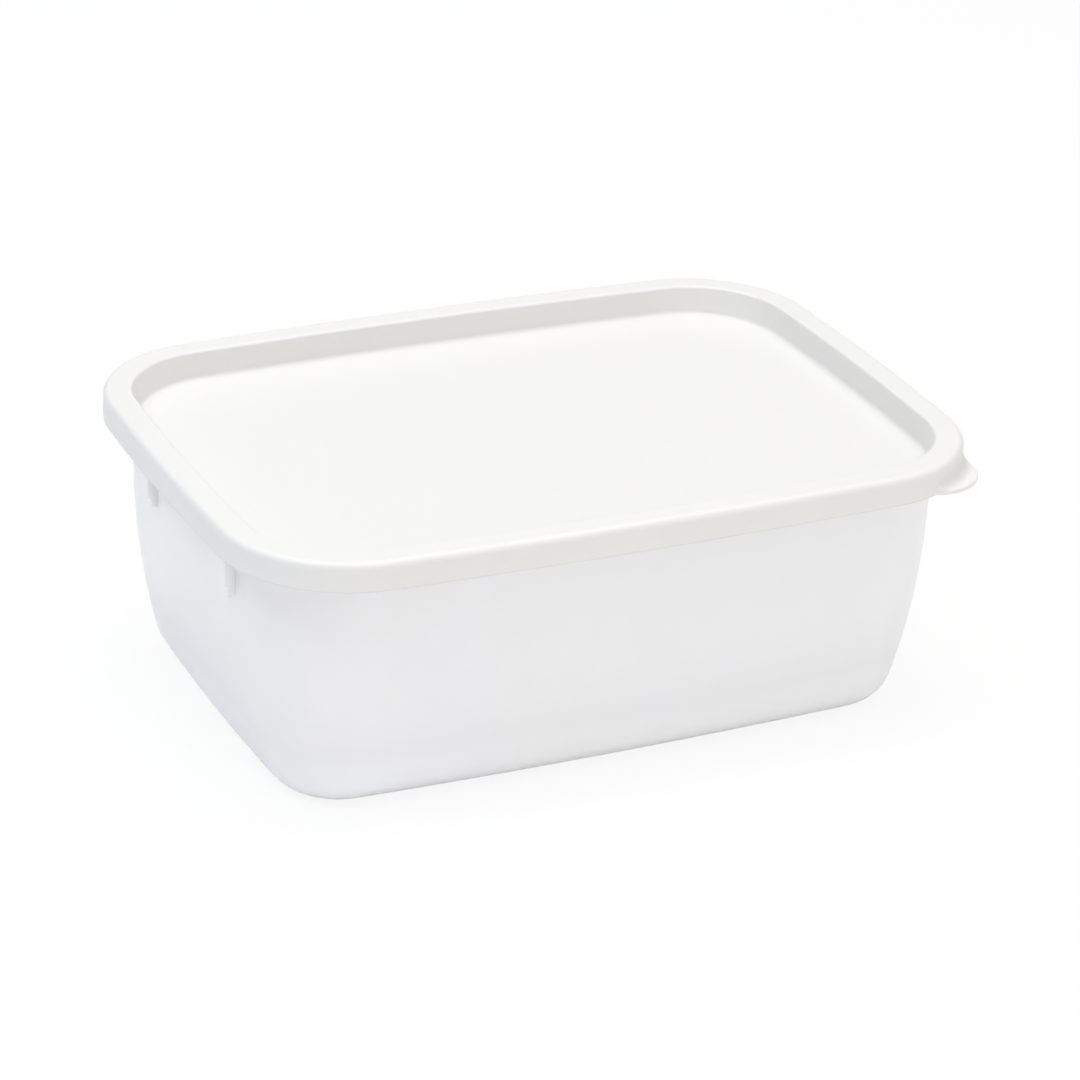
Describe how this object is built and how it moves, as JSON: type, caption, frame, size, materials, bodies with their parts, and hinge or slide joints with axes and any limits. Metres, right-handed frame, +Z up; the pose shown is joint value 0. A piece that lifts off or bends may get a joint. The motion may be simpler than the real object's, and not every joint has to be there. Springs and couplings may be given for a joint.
{
  "type": "rectangular food storage container",
  "caption": "Rectangular food storage container: a milky translucent tub with bowed, rounded walls and a white press-on lid with a deep recessed panel and a grip tab.",
  "frame": {"origin": "middle of the underside, on the surface the tub stands on", "axes": "+X along the long side, +Y along the short side away from the shown front, +Z up"},
  "size_m": [0.232, 0.165, 0.085],
  "materials": {
    "tub_polypropylene": "satin",
    "lid_polyethylene": "satin"
  },
  "bodies": {
    "root": {"tub": "tub_polypropylene", "lid": "lid_polyethylene"}
  },
  "joints": []
}
